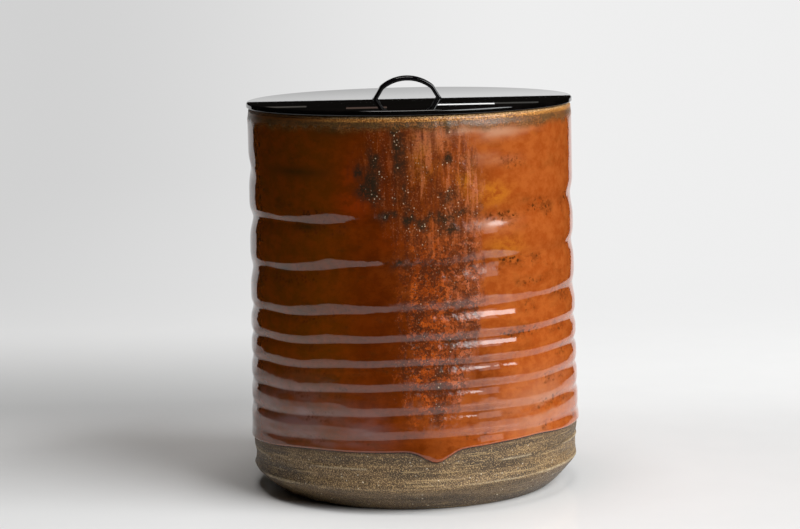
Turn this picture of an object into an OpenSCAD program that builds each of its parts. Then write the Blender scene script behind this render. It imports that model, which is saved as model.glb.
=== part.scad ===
// Mizusashi: a thrown stoneware water jar under a lacquered board lid.
// The jar stands on its foot at the origin, +Z runs up its axis and -Y is its front.

/* [Jar] */
// Height from the table to the top of the lip
jar_height = 193; // [160:1:230]
// Outer diameter of the clay at the lip
jar_d = 161.8; // [145:0.2:190]
// Growth of the wall's radius from the lip down to the foot
foot_flare = 2.2; // [0:0.1:5]
// Thickness of the clay wall at the lip
wall = 6.5; // [5:0.1:9]
// Thickness of the clay floor
floor_t = 9; // [6:0.5:14]
// Diameter of the foot where it meets the table
foot_d = 138; // [110:1:142]
// Height of the bevel trimmed round the foot
bevel_h = 11.7; // [6:0.1:16]
// Depth of the hollow under the foot
hollow_h = 1.2; // [0.5:0.1:3]
// Width of the ring that stands on the table
foot_land = 18; // [8:1:30]
// Radius of the inside corner between wall and floor
corner_r = 14; // [6:1:25]
// Radius of the rounding on both edges of the lip
lip_r = 1.6; // [0.8:0.1:2.2]

/* [Throwing rings] */
// Depth of the grooves between the rings
ring_depth = 1; // [0.2:0.1:2]
// Height of the lowest groove
first_groove = 38.5; // [34:0.5:46]
// Distance between grooves in the lower wall
low_pitch = 12; // [8:0.5:15]
// Number of grooves in the lower wall
low_grooves = 5; // [2:1:6]
// Distance between grooves in the upper wall
high_pitch = 21; // [16:0.5:30]
// Height of the plain band under the lip
plain_band = 15; // [8:1:30]

/* [Glaze] */
// Thickness of the outer glaze high on the wall
glaze_t = 0.8; // [0.4:0.1:1.4]
// Thickness of the outer glaze low on the wall, where it has run down
glaze_low_t = 1.5; // [0.4:0.1:2]
// Thickness to which the outer glaze thins at the lip
glaze_lip_t = 0.3; // [0.2:0.05:0.4]
// Height of the band in which the outer glaze thins
glaze_fade = 5; // [2:0.5:10]
// Height of the glaze's lower edge at the front of the jar
glaze_line = 30.5; // [24:0.5:36]
// Tilt of that edge in degrees, higher on the right
glaze_tilt = 2.5; // [0:0.1:4]
// Turn of the run of glaze from the front towards the right, in degrees
run_turn = 6.6; // [-30:0.1:30]
// Width of the run of glaze
run_w = 13; // [6:0.5:20]
// Drop of the run below the glaze's edge
run_drop = 5; // [2:0.5:7]
// Thickness of the glaze lining inside
lining_t = 0.8; // [0.4:0.1:1.5]
// Gap left between the clay and the glaze fused to it
bond_gap = 0.04; // [0.02:0.01:0.1]

/* [Lid] */
// Thickness of the lid's board
lid_t = 2.6; // [2:0.1:5]
// Reach of the lid's edge past the clay of the lip
lid_overhang = 1.1; // [0.2:0.1:4]
// Width of the hoop under the lid
hoop_w = 5; // [3:0.5:10]
// Depth of the hoop below the board
hoop_drop = 5.4; // [3:0.1:10]
// Depth of the groove in the board that holds the hoop
hoop_seat = 0.8; // [0.4:0.1:1.4]
// Bevel on the hoop's lower edges
hoop_bevel = 0.8; // [0.3:0.1:1.4]
// Play between the hoop and the mouth all round
hoop_play = 1.6; // [0.5:0.1:4]
// Gap at the glued joints of the lid
glue_gap = 0.08; // [0.04:0.01:0.2]

/* [Handle] */
// Span of the bow from outside to outside where it meets the lid
handle_span = 35; // [28:0.5:50]
// Height of the bow above the lid
handle_h = 11.4; // [9:0.1:14]
// Height of the bow's straight legs
leg_h = 5.6; // [3:0.1:7]
// Slope of the legs in degrees
leg_slope = 59; // [45:1:80]
// Outer radius of the knees between the legs and the round back
knee_r = 5; // [3:0.5:6]
// Thickness of the strip that the bow is bent from
strip_t = 2.3; // [1.4:0.1:2.6]
// Width of the strip
strip_w = 12; // [8:0.5:20]
// Thickness of the tenons that go through the lid
tenon_t = 1.1; // [0.8:0.1:1.2]
// Shoulder left on each side of a tenon
tenon_shoulder = 1.5; // [0.5:0.1:3]
// Turn of the bow from square across the front, in degrees
handle_turn = 1; // [-45:1:45]
// Distance of the bow from the middle of the lid, towards the right
handle_shift = -0.9; // [-5:0.1:5]

/* [Hidden] */
$fn = 96;

// Points on one round corner, and on one throwing ring
corner_steps = 6;
ring_steps = 6;

lip_radius = jar_d / 2;
mouth_radius = lip_radius - wall;
foot_radius = foot_d / 2;
hollow_radius = foot_radius - foot_land;
floor_z = hollow_h + floor_t;

lid_radius = lip_radius + lid_overhang;
lid_top = jar_height + lid_t;
hoop_radius = mouth_radius - lining_t - hoop_play;

low_z = [for (i = [0 : low_grooves - 1]) first_groove + i * low_pitch];
high_start = low_z[low_grooves - 1] + (low_pitch + high_pitch) / 2;
high_z = [for (z = [high_start : high_pitch : jar_height - plain_band]) z];
groove_z = concat(low_z, high_z);
top_groove = groove_z[len(groove_z) - 1];

// Middle of a knee, and the back that runs from knee to knee, in the bow's own plane above the lid
knee_x = handle_span / 2 - leg_h / tan(leg_slope) - knee_r * sin(leg_slope);
knee_z = leg_h - knee_r * cos(leg_slope);
knee_drop = handle_h - knee_z;
back_r = (pow(knee_x, 2) + pow(knee_drop, 2) - pow(knee_r, 2)) / (2 * (knee_drop - knee_r));
back_z = handle_h - back_r;
back_end = atan2(knee_z - back_z, knee_x);

foot_middle = handle_span / 2 - strip_t / (2 * sin(leg_slope));
tenon_w = strip_w - 2 * tenon_shoulder;
// Bite of the tenon into the foot of the bow
tenon_bite = 0.4;

// Room past a piece for a shape that cuts it
cut = 5;

// Points of an arc about [x, z], from angle a to angle b
function arc(x, z, r, a, b) =
    [for (i = [0 : corner_steps]) let (t = a + (b - a) * i / corner_steps) [x + r * cos(t), z + r * sin(t)]];

// Radius of the clay at a height, without its rings
function wall_radius(z) = lip_radius + foot_flare * pow(1 - z / jar_height, 2);

// The wall from the groove at height a to the groove at height b, which bulges between them
function ring_stretch(a, b) =
    [for (i = [0 : ring_steps - 1])
        let (f = i / ring_steps, z = a + f * (b - a))
        [wall_radius(z) - ring_depth * pow(2 * f - 1, 2), z]];

// The wall below the lowest groove, which curves in to meet it
function lead_in() =
    [for (i = [0 : ring_steps - 1])
        let (f = i / ring_steps, z = first_groove - low_pitch / 2 * (1 - f))
        [wall_radius(z) - ring_depth * f * f, z]];

// The wall above the highest groove, which curves back out of it
function lead_out() =
    [for (i = [0 : ring_steps])
        let (f = i / ring_steps, z = top_groove + plain_band / 2 * f)
        [wall_radius(z) - ring_depth * pow(1 - f, 2), z]];

// The ringed wall of the jar from its foot bevel to its lip
wall_line = concat(
    [[wall_radius(bevel_h), bevel_h]],
    lead_in(),
    [for (i = [0 : len(groove_z) - 2]) each ring_stretch(groove_z[i], groove_z[i + 1])],
    lead_out(),
    [[lip_radius, jar_height - lip_r]]);

// Thickness of the outer glaze at a height
function glaze_at(z) = glaze_low_t + (glaze_t - glaze_low_t) * z / jar_height;

function reversed(points) = [for (i = [len(points) - 1 : -1 : 0]) points[i]];

function after_first(points) = [for (i = [1 : len(points) - 1]) points[i]];

// Thrown and trimmed clay body, open at the top
module jar_body() {
    color("#6b5a40")
    rotate_extrude()
    polygon(concat(
        [[0, hollow_h], [hollow_radius - hollow_h, hollow_h], [hollow_radius, 0], [foot_radius, 0]],
        wall_line,
        arc(lip_radius - lip_r, jar_height - lip_r, lip_r, 0, 90),
        arc(mouth_radius + lip_r, jar_height - lip_r, lip_r, 90, 180),
        arc(mouth_radius - corner_r, floor_z + corner_r, corner_r, 0, -90),
        [[0, floor_z]]));
}

// The outer glaze as a whole coat, before its lower edge is cut
module glaze_coat() {
    fade_z = jar_height - lip_r - glaze_fade;
    face = [for (p = wall_line) if (p[1] < fade_z) p];
    rotate_extrude()
    polygon(concat(
        [for (p = face) [p[0] + glaze_at(p[1]), p[1]]],
        [[wall_radius(fade_z) + glaze_at(fade_z), fade_z], [lip_radius + glaze_lip_t, jar_height - lip_r]],
        [for (p = reversed(wall_line)) [p[0] + bond_gap, p[1]]]));
}

// Everything above the tilted lower edge of the glaze
module above_glaze_line() {
    reach = 2 * lid_radius;
    translate([0, 0, glaze_line])
    rotate([0, -glaze_tilt, 0])
    translate([-reach, -reach, 0])
    cube([2 * reach, 2 * reach, 2 * jar_height]);
}

// The tongue that the run of glaze fills, a slot with a round end at the front
module run_tongue() {
    run_x = wall_radius(glaze_line) * sin(run_turn);
    line_z = glaze_line + run_x * tan(glaze_tilt);
    round_z = line_z - run_drop + run_w / 2;
    rotate([0, 0, run_turn])
    translate([0, -lip_radius / 2, 0]) {
        translate([0, 0, round_z])
        rotate([90, 0, 0])
        cylinder(d = run_w, h = lip_radius);
        translate([-run_w / 2, -lip_radius, round_z])
        cube([run_w, lip_radius, run_drop + cut]);
    }
}

// Iron glaze on the outside, with the run that stopped above the foot
module outer_glaze() {
    color("#a8481c")
    intersection() {
        glaze_coat();
        union() {
            above_glaze_line();
            run_tongue();
        }
    }
}

// Clear glaze that makes the inside hold water
module inner_glaze() {
    skin_r = corner_r - bond_gap;
    face_r = corner_r - lining_t;
    centre = [mouth_radius - corner_r, floor_z + corner_r];
    lining_top = jar_height - 2 * lip_r;
    color("#7a4a26")
    rotate_extrude()
    polygon(concat(
        [[0, floor_z + bond_gap]],
        arc(centre[0], centre[1], skin_r, -90, 0),
        [[mouth_radius - bond_gap, lining_top], [mouth_radius - lining_t, lining_top]],
        arc(centre[0], centre[1], face_r, 0, -90),
        [[0, floor_z + lining_t]]));
}

// The slot that one tenon of the handle goes through, or the tenon itself when the gap is 0
module tenon_block(side, gap, low, high) {
    translate([side * foot_middle - tenon_t / 2 - gap, -tenon_w / 2 - gap, low])
    cube([tenon_t + 2 * gap, tenon_w + 2 * gap, high - low]);
}

// Puts a shape where the handle stands on the lid
module at_handle() {
    translate([handle_shift, 0, 0])
    rotate([0, 0, handle_turn])
    children();
}

// Turned board with a round edge, grooved below for the hoop
module lid_board() {
    edge_r = lid_t / 2;
    groove_out = hoop_radius + glue_gap;
    groove_in = hoop_radius - hoop_w - glue_gap;
    color("#0c0b0b")
    difference() {
        rotate_extrude()
        polygon(concat(
            [[0, jar_height], [groove_in, jar_height], [groove_in, jar_height + hoop_seat],
             [groove_out, jar_height + hoop_seat], [groove_out, jar_height]],
            arc(lid_radius - edge_r, jar_height + edge_r, edge_r, -90, 90),
            [[0, lid_top]]));
        at_handle()
        for (side = [-1, 1])
            tenon_block(side, glue_gap, jar_height - cut, lid_top + cut);
    }
}

// Hoop glued under the board, which keeps the lid on the mouth
module lid_hoop() {
    low = jar_height - hoop_drop;
    inner = hoop_radius - hoop_w;
    color("#141110")
    rotate_extrude()
    polygon([
        [inner + hoop_bevel, low], [hoop_radius - hoop_bevel, low], [hoop_radius, low + hoop_bevel],
        [hoop_radius, jar_height + hoop_seat], [inner, jar_height + hoop_seat], [inner, low + hoop_bevel]]);
}

// Right half of the bow's outline at a depth inside its outer face, from its foot up to the top
function bow_half(depth) = concat(
    [[handle_span / 2 - depth / sin(leg_slope), 0]],
    arc(knee_x, knee_z, knee_r - depth, 90 - leg_slope, back_end),
    after_first(arc(0, back_z, back_r - depth, back_end, 90)));

// The whole of that outline from the right foot to the left
function bow_line(depth) =
    let (half = bow_half(depth))
    concat(half, [for (p = after_first(reversed(half))) [-p[0], p[1]]]);

// Bow bent from one strip, with a tenon on each end through the board
module lid_handle() {
    color("#0c0b0b")
    at_handle() {
        translate([0, strip_w / 2, lid_top])
        rotate([90, 0, 0])
        linear_extrude(strip_w)
        polygon(concat(bow_line(0), reversed(bow_line(strip_t))));
        for (side = [-1, 1])
            tenon_block(side, 0, jar_height, lid_top + tenon_bite);
    }
}

jar_body();
outer_glaze();
inner_glaze();
lid_board();
lid_hoop();
lid_handle();
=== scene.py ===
import math

import bpy
import numpy as np
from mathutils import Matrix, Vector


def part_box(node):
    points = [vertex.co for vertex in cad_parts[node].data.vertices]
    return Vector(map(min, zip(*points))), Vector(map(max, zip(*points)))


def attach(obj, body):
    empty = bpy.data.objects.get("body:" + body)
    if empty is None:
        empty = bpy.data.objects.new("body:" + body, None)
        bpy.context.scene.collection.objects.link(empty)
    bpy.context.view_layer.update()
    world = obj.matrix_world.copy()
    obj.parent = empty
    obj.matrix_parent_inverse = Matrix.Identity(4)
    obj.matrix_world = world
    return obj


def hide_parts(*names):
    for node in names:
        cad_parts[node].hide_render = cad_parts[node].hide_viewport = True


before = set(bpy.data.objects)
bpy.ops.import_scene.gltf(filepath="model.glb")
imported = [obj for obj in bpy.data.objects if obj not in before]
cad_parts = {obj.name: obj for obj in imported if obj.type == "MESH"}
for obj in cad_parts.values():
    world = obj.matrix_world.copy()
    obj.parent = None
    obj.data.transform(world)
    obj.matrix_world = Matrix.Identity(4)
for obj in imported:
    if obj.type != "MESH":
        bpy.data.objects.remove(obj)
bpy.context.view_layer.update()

# Looks of the water jar. Lengths are in metres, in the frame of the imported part:
# the front is -Y and the right is +X.
MM = 0.001

# Sizes read from the frame
JAR_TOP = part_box("jar_body")[1].z
LID_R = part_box("lid_board")[1].x
LID_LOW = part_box("lid_board")[0].z
LID_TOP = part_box("lid_board")[1].z
HOOP_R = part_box("lid_hoop")[1].x
HOOP_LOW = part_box("lid_hoop")[0].z
MOUTH_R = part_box("inner_glaze")[1].x
LINING_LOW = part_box("inner_glaze")[0].z
LINING_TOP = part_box("inner_glaze")[1].z
HANDLE_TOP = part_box("lid_handle")[1].z

# Sizes of the clay
LIP_R = LID_R - 1.1 * MM
LIP_ROUND = 1.6 * MM
FLARE = 2.2 * MM
FOOT_R = 69 * MM
LAND_W = 18 * MM
HOLLOW = 1.2 * MM
BEVEL_H = 11.7 * MM
CORNER_R = 14 * MM
LINING_T = 0.8 * MM
LINING_RINGS = 0.3 * MM

# The trimmed foot: how the bevel wanders, and the ridge, burr, hollow and marks of the tool above it
FOOT_INSET = 0.5 * MM
BEVEL_TILT = 1.4 * MM
BEVEL_WANDER = 0.7 * MM
BEVEL_SOFT = 0.5 * MM
BEVEL_CURVE = 0.8
RIDGE_RISE = 0.8 * MM
RIDGE_W = 0.9 * MM
RIDGE_H = 0.4 * MM
BURR_RISE = 11 * MM
BURR_W = 0.7 * MM
BURR_H = 0.35 * MM
TRIM_HOLLOW = 0.6 * MM
TRIM_HOLLOW_RISE = 5.5 * MM
TRIM_HOLLOW_W = 3.2 * MM
TRIM_LINES = 0.16 * MM
FOOT_GRIT = 0.10 * MM
FOOT_TOP = 36 * MM

# Throwing rings, a helix that rises towards the right
FIRST_GROOVE = 37.5 * MM
LOW_PITCH = 11.8 * MM
STEP_PITCH = 14 * MM
HIGH_PITCH = 22 * MM
TOP_PITCH = 29 * MM
LOW_GROOVES = 5
HIGH_GROOVES = 3
LEAD_TURNS = 2
RING_DEPTH = 1.15 * MM
GROOVE_SHAPE = 4
GROOVE_LEAN = 0.88
SIDE_DIP = 2.5 * MM
LEFT_LIFT = 2.8 * MM
LIFT_FROM = 119 * MM
LIFT_FULL = 136 * MM
RING_WANDER = 0.7 * MM
RING_LEAST = 0.52
RING_UNEVEN = 0.22
RING_GROWTH = 0.65
WALL_WAVE = 0.2 * MM

# Heights between which the rings show, higher on the far side, and the deep top groove on the left
RINGS_START = 29 * MM
RINGS_FULL = 41 * MM
RINGS_END = 148 * MM
RINGS_FADE = 12 * MM
FAR_SIDE_REACH = 14 * MM
NEAR_SIDE_ANGLE = 40
DEEPER = 0.6
DEEP_ANGLE = -75
DEEP_WIDTH = 45
DEEP_HEIGHT = 143 * MM
DEEP_HALF_HEIGHT = 10 * MM

# Outer glaze
GLAZE_HIGH_T = 0.8 * MM
GLAZE_LOW_T = 1.1 * MM
GLAZE_LIP_T = 0.3 * MM
GLAZE_FADE = 5 * MM
GLAZE_LINE = 31.3 * MM
EDGE_ROLL = 1.1 * MM
DROP_ROLL = 1.2 * MM
RUN_ANGLE = 6.6
RUN_DROP = 6 * MM
RUN_WIDTH = 6.0
RUN_LEFT = -4
RUN_LEFT_SPREAD = 12
RUN_RIGHT = 17
RUN_RIGHT_SPREAD = 8
RUN_RIGHT_NARROWING = 7
RUN_LUMPS = 0.16 * MM
RUN_FILL = 0.65
FILL_FROM = 110 * MM
FILL_FULL = 132 * MM
BEAD = 0.3 * MM
BEAD_FADE = 3 * MM
DROP_SWELL = 1.1 * MM
DROP_FADE = 4.5 * MM
SKIN_WAVE = 0.05 * MM
GLAZE_TUCK = 0.4 * MM

# The glaze's lower edge, in millimetres: slant to the right, rise at both sides, fall at their ends, ripple
EDGE_SLANT = 2.7
EDGE_RISE = 3.2
EDGE_FALL = 5.9
EDGE_RIPPLE = 0.5

# Marks in the glaze: angle, height in millimetres, half width in degrees, half height and strength
DABS = (
    (-12.5, 172, 3, 8, 1), (-13, 162, 3.2, 9, 1), (-13.5, 154.5, 3.6, 5, 1), (-16.5, 156.5, 2.6, 5, 1),
    (-4.8, 186, 2.6, 5, 0.9), (-4.2, 178, 2.4, 7, 0.9), (-4.4, 167, 2.6, 10, 0.9),
    (-3.2, 156, 2.4, 8, 0.75), (-1.9, 148, 2.2, 5, 0.6), (4.6, 189.5, 3.4, 4, 0.85),
    (11.7, 189, 2, 4, 0.8), (12.3, 171.5, 2.6, 3.6, 0.95), (12.5, 153.5, 3.4, 3.5, 0.75),
    (8.2, 157, 2, 4, 0.55), (-8, 144.5, 5, 2.6, 0.85), (-1, 143.8, 4, 2.8, 0.9),
    (11, 144.5, 5, 3.2, 0.9), (12.5, 139, 3.5, 4.5, 0.85), (-4, 122, 3, 3, 0.6), (7.4, 68, 1.3, 20, 0.7),
    (1, 135, 3, 4, 0.4), (14, 110, 2, 6, 0.5), (6, 100, 3, 3, 0.5), (13, 84, 2.5, 4, 0.6),
    (-18.5, 167.5, 2.8, 5, 1), (5.5, 166, 3, 4, 0.5), (18, 147, 7, 2.6, 0.6), (4, 143, 4, 3, 0.85),
    (7.5, 143, 3, 3, 0.8))
# Smudges, and painted shade: the wide band at 165.5 mm on the left stands in for the shade of a throwing
# ring.
SMUDGES_AND_RING_SHADE = (
    (-42, 165.5, 14, 2.6, 0.9), (-39, 139, 6, 2, 1), (-50, 117.5, 4, 2, 0.9), (-27, 185.5, 8, 3, 0.8),
    (20, 168.5, 3, 5, 0.5))
HALOS = ((-19, 152, 6, 8, 1), (-7, 133, 5, 6, 0.6), (-8.5, 165, 2.5, 14, 0.5), (-21, 164, 4, 8, 0.6))
SHADES = (
    (-9, 103, 10, 55, 1), (6.7, 32, 9, 6, 0.9), (-8.3, 162, 2.8, 16, 1), (27, 122, 7, 10, 0.5),
    (27, 82, 8, 10, 0.4), (14, 60, 6, 10, 0.5), (22, 66, 9, 16, 0.9), (23, 48, 10, 9, 0.8),
    (-8.3, 174, 2.8, 8, 0.9), (19, 150, 6, 6, 0.6), (-16, 86, 4, 18, 0.8), (8, 126, 9, 10, 0.75),
    (1, 44, 5, 6, 0.6), (1, 120, 6, 5, 0.6), (24, 164, 4, 5, 0.4))
AMBERS = ((18.5, 160.5, 3, 5, 1), (28.4, 154, 7, 5.5, 1), (33, 128, 8, 5, 0.6), (4, 176, 4, 12, 0.7))
# Veils are partly a milky glaze and partly painted sheen: the pale highlight under the lip and the table's
# reflection low on the left.
VEILS_AND_SHEEN = (
    (16, 184.5, 8, 3.5, 2.2), (30, 184, 13, 3.5, 1.8), (6, 182, 6, 7, 0.5), (27, 171, 10, 3, 0.7),
    (27, 139, 10, 3.5, 1), (50, 47, 18, 14, 1), (-48, 46, 22, 14, 1.3), (-38, 35, 18, 3, 1.4),
    (-18, 42, 9, 9, 0.8))
SPECKS = (
    (33, 143, 9, 2.5, 1), (51, 145.5, 8, 2.5, 1), (39, 121, 11, 2.5, 1), (38.5, 86, 9, 3, 1),
    (-35, 146, 9, 2, 0.8), (36, 169, 9, 5, 0.5), (44, 110, 10, 3, 0.5))

# Lid and handle
EDGE_TOP_R = 1.0 * MM
EDGE_LOW_R = 0.5 * MM
HOOP_W = 5 * MM
HOOP_BEVEL = 0.8 * MM
HANDLE_X = (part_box("lid_handle")[0].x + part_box("lid_handle")[1].x) / 2
HANDLE_SPAN = 35 * MM
LEG_H = 5.6 * MM
LEG_SLOPE = math.radians(59)
KNEE_R = 5 * MM
STRIP_T = 2.3 * MM
STRIP_W = 12 * MM
STRIP_ROUND = 0.6 * MM
STRIP_CROWN = 0.3 * MM
TENON_T = 1.1 * MM
TENON_W = 9 * MM
HANDLE_TURN = math.radians(1)

# The table's sheet of paper, which widens behind the jar and turns up into a low backdrop
TABLE_FRONT = -0.285
TABLE_MIDDLE = 0.5
TABLE_LEFT = -0.42
TABLE_RIGHT = 0.30
TABLE_MIDDLE_RIGHT = 0.34
TABLE_GAP = 0.1 * MM
BACKDROP_Y = 1.5
BACKDROP_LEFT = -1.15
BACKDROP_RIGHT = 0.85
BACKDROP_TURN = 0.22
BACKDROP_TOP = 0.3191

# Point that the lamps face, and the photograph's camera
LIT_POINT = (0, 0, 0.1)
CAMERA_PLACE = (-6.19 * MM, -1235.7 * MM, 283.7 * MM)
CAMERA_DOWN = 7.960
CAMERA_LEAN = -1.232
FOCAL_PX = 2451.3
WIDTH_PX = 800
SENSOR_W = 36

# Points of the meshes: columns round the axis, and rows of each stretch
COLUMNS = 960
FOOT_ROWS = 100
WALL_ROWS = 110
ROLL_ROWS = 11
COAT_ROWS = 340
LINING_ROWS = 90


# Numbers that vary smoothly over a surface

def smooth_step(value, low, high):
    """0 below low and 1 above high, with a soft change between."""
    t = np.clip((value - low) / (high - low), 0, 1)
    return t * t * (3 - 2 * t)


def hashed(ix, iy, iz, seed):
    """A fixed number from -1 to 1 for each corner of a lattice."""
    n = (ix * 73856093) ^ (iy * 19349663) ^ (iz * 83492791) ^ (seed * 26544357)
    n = (n ^ (n >> 13)) & 0x7FFFFFFF
    n = (n * 1274126177) & 0x7FFFFFFF
    n = n ^ (n >> 15)
    return (n & 0xFFFF) / 32767.5 - 1


def noise(points, size, seed):
    """Smooth noise from -1 to 1, with lumps of about that size, one size or one for each axis."""
    p = points / np.asarray(size)
    base = np.floor(p).astype(np.int64)
    t = p - base
    t = t * t * (3 - 2 * t)
    total = np.zeros(points.shape[:-1])
    for dx in (0, 1):
        for dy in (0, 1):
            for dz in (0, 1):
                share = (t[..., 0] if dx else 1 - t[..., 0]) * (t[..., 1] if dy else 1 - t[..., 1])
                share = share * (t[..., 2] if dz else 1 - t[..., 2])
                corner = hashed(base[..., 0] + dx, base[..., 1] + dy, base[..., 2] + dz, seed)
                total += share * corner
    return total


def tangle(points, size, seed):
    """Noise of three sizes together, each half the one before."""
    size = np.asarray(size)
    return sum(noise(points, size / 2 ** k, seed + k) / 2 ** k for k in range(3))


def bell(value, middle, width):
    """1 at the middle, falling away over that width on both sides."""
    return np.exp(-((value - middle) / width) ** 2)


# Places on the jar: an angle is in degrees from the front, positive towards the right

def around():
    """The angle of each column of points."""
    return (np.arange(COLUMNS) / COLUMNS - 0.5) * 360


def on_axis(angle, radius, z):
    """Points at that angle, radius and height."""
    t = np.radians(angle)
    x = radius * np.sin(t)
    y = -radius * np.cos(t)
    return np.stack(np.broadcast_arrays(x, y, z), axis=-1)


# The shape of the thrown wall

def groove_heights():
    """Heights of the grooves at the front, from two turns below the lowest."""
    low = [FIRST_GROOVE + k * LOW_PITCH for k in range(-LEAD_TURNS, LOW_GROOVES)]
    high = [low[-1] + STEP_PITCH + k * HIGH_PITCH for k in range(HIGH_GROOVES)]
    return low + high + [high[-1] + TOP_PITCH, high[-1] + 2 * TOP_PITCH]


def ring_share(angle, z):
    """Place between two grooves of the helix, from 0 at one to 1 at the next above."""
    heights = groove_heights()
    side = np.sin(np.radians(angle))
    lift = LEFT_LIFT * smooth_step(-side, 0.3, 0.9) * smooth_step(z, LIFT_FROM, LIFT_FULL)
    dip = (SIDE_DIP - lift) * side ** 2
    wander = RING_WANDER * noise(on_axis(angle, LIP_R, z), (18 * MM, 18 * MM, 40 * MM), 7)
    counted = np.interp(z + dip + wander, heights, np.arange(len(heights)) - LEAD_TURNS)
    return (counted - angle / 360) % 1


def groove_depth(angle, z):
    """How deep in a groove a place lies, from 0 on a ring to 1 in the groove."""
    last = RINGS_END + FAR_SIDE_REACH * smooth_step(np.abs(angle - NEAR_SIDE_ANGLE), 100, 130)
    fade = smooth_step(z, RINGS_START, RINGS_FULL) * (1 - smooth_step(z, last, last + RINGS_FADE))
    return fade * np.cos(math.pi * ring_share(angle, z) ** GROOVE_LEAN) ** GROOVE_SHAPE


def wall_radius(z):
    """Radius of the wall without its rings."""
    return LIP_R + FLARE * (1 - z / JAR_TOP) ** 2


def ringed_radius(angle, z):
    """Radius of the clay wall with its rings, which fade out at the lip and the foot."""
    place = on_axis(angle, LIP_R, z)
    uneven = RING_LEAST + RING_UNEVEN * noise(place, 34 * MM, 3) + RING_GROWTH * z / JAR_TOP
    deep = bell(angle, DEEP_ANGLE, DEEP_WIDTH) * bell(z, DEEP_HEIGHT, DEEP_HALF_HEIGHT)
    uneven = uneven + DEEPER * deep
    wave = WALL_WAVE * noise(place, 60 * MM, 5)
    return wall_radius(z) - RING_DEPTH * uneven * groove_depth(angle, z) + wave


def bevel_height(angle):
    """Height of the bevel round the foot, which was trimmed by hand."""
    level = on_axis(angle, LIP_R, 0 * angle)
    return BEVEL_H + BEVEL_TILT * np.sin(np.radians(angle + 20)) + BEVEL_WANDER * noise(level, 40 * MM, 11)


def trim_ridge(angle, z):
    """Strength of the broken ridge above the bevel."""
    level = on_axis(angle, LIP_R, 0 * z)
    share = smooth_step(noise(level, 22 * MM, 19), -0.5, 0.5)
    return share * bell(z, bevel_height(angle) + RIDGE_RISE, RIDGE_W)


def trim_burr(angle, z):
    """Strength of the broken burr below the glaze."""
    level = on_axis(angle, LIP_R, 0 * z)
    share = smooth_step(noise(level, 16 * MM, 27), -0.1, 0.4)
    return share * bell(z, bevel_height(angle) + BURR_RISE, BURR_W)


def foot_radius(angle, z):
    """Radius of the trimmed foot, with its bevel and the marks of the trimming tool."""
    place = on_axis(angle, LIP_R, z)
    bevel_top = bevel_height(angle)
    top_r = wall_radius(bevel_top) - FOOT_INSET
    share = np.clip(z / bevel_top, 0, None)
    bevel = FOOT_R + (top_r - FOOT_R) * share ** BEVEL_CURVE
    wall = wall_radius(z) - FOOT_INSET
    edge = -BEVEL_SOFT * np.logaddexp(-bevel / BEVEL_SOFT, -wall / BEVEL_SOFT)
    hollow = TRIM_HOLLOW * bell(z, bevel_top + TRIM_HOLLOW_RISE, TRIM_HOLLOW_W)
    ridge = RIDGE_H * trim_ridge(angle, z)
    burr = BURR_H * trim_burr(angle, z)
    lines = TRIM_LINES * noise(place, (40 * MM, 40 * MM, 1.5 * MM), 13)
    grit = FOOT_GRIT * tangle(place, 2.4 * MM, 17)
    return edge - hollow + ridge + burr + (lines + grit) * smooth_step(z, 0, 2 * MM)


def clay_radius(angle, z):
    """Outer radius of the clay, the trimmed foot below and the ringed wall above."""
    share = smooth_step(z - glaze_line(angle), -7 * MM, -1.5 * MM)
    return (1 - share) * foot_radius(angle, z) + share * ringed_radius(angle, z)


# The outer glaze

def glaze_line(angle):
    """Height of the lower edge of the glaze, without the run."""
    side = np.sin(np.radians(angle))
    wave = EDGE_SLANT * side + EDGE_RISE * side ** 2 - EDGE_FALL * side ** 4
    ripple = EDGE_RIPPLE * noise(on_axis(angle, LIP_R, 0 * angle), 14 * MM, 23)
    return GLAZE_LINE + (wave + ripple) * MM


def glaze_edge(angle):
    """Height of the lower edge of the glaze, with the run that stopped above the foot."""
    return glaze_line(angle) - RUN_DROP * bell(angle, RUN_ANGLE, RUN_WIDTH)


def run_mask(angle, z):
    """Strength of the grainy run down the front, wide below the lip and narrow at the bottom."""
    high = z / JAR_TOP
    left = RUN_LEFT - RUN_LEFT_SPREAD * smooth_step(high, 0.64, 0.86)
    right = RUN_RIGHT + RUN_RIGHT_SPREAD * smooth_step(high, 0.25, 0.55)
    right = right - RUN_RIGHT_NARROWING * smooth_step(high, 0.84, 1)
    inside = smooth_step(angle, left - 10, left + 10) * (1 - smooth_step(angle, right - 7, right + 5))
    return inside * smooth_step(high, 0.14, 0.34)


def spots(marks, angle, z):
    """Strength of a set of soft round marks."""
    total = 0 * angle + 0 * z
    for middle, height, half_angle, half_height, strength in marks:
        spot = strength * bell(angle, middle, half_angle) * bell(z, height * MM, half_height * MM)
        total = np.maximum(total, spot)
    return total


def soot_mask(angle, z):
    """Strength of the black-green dabs, ragged and drawn out downwards, and of the stain round them."""
    place = on_axis(angle, LIP_R, z)
    aside = angle + 1.1 * tangle(place, (4 * MM, 4 * MM, 9 * MM), 51)
    along = z + 3 * MM * tangle(place, (3 * MM, 3 * MM, 12 * MM), 61)
    drawn = tangle(place, (2.6 * MM, 2.6 * MM, 26 * MM), 81)
    dabs = spots(DABS, aside, along) * np.clip(1 + 0.3 * drawn, 0.3, None)
    grit = tangle(place, (1.9 * MM, 1.9 * MM, 3 * MM), 71)
    dark = smooth_step(dabs + 0.22 * grit, 0.15, 1.05)
    stain = smooth_step(dabs ** 0.3 + 0.3 * drawn + 0.2 * grit, 0.3, 1.1)
    return dark, stain


def box_limit(angle):
    """Greatest radius that keeps the glaze inside the box of its solid."""
    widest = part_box("outer_glaze")[1]
    side = widest.x / np.maximum(np.abs(np.sin(np.radians(angle))), 0.1)
    front = widest.y / np.maximum(np.abs(np.cos(np.radians(angle))), 0.1)
    return np.minimum(side, front)


def edge_roll(angle):
    """Height over which the lower edge of the glaze rolls in, more on the drop at the end of the run."""
    return EDGE_ROLL + DROP_ROLL * bell(angle, RUN_ANGLE, 0.8 * RUN_WIDTH)


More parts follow.
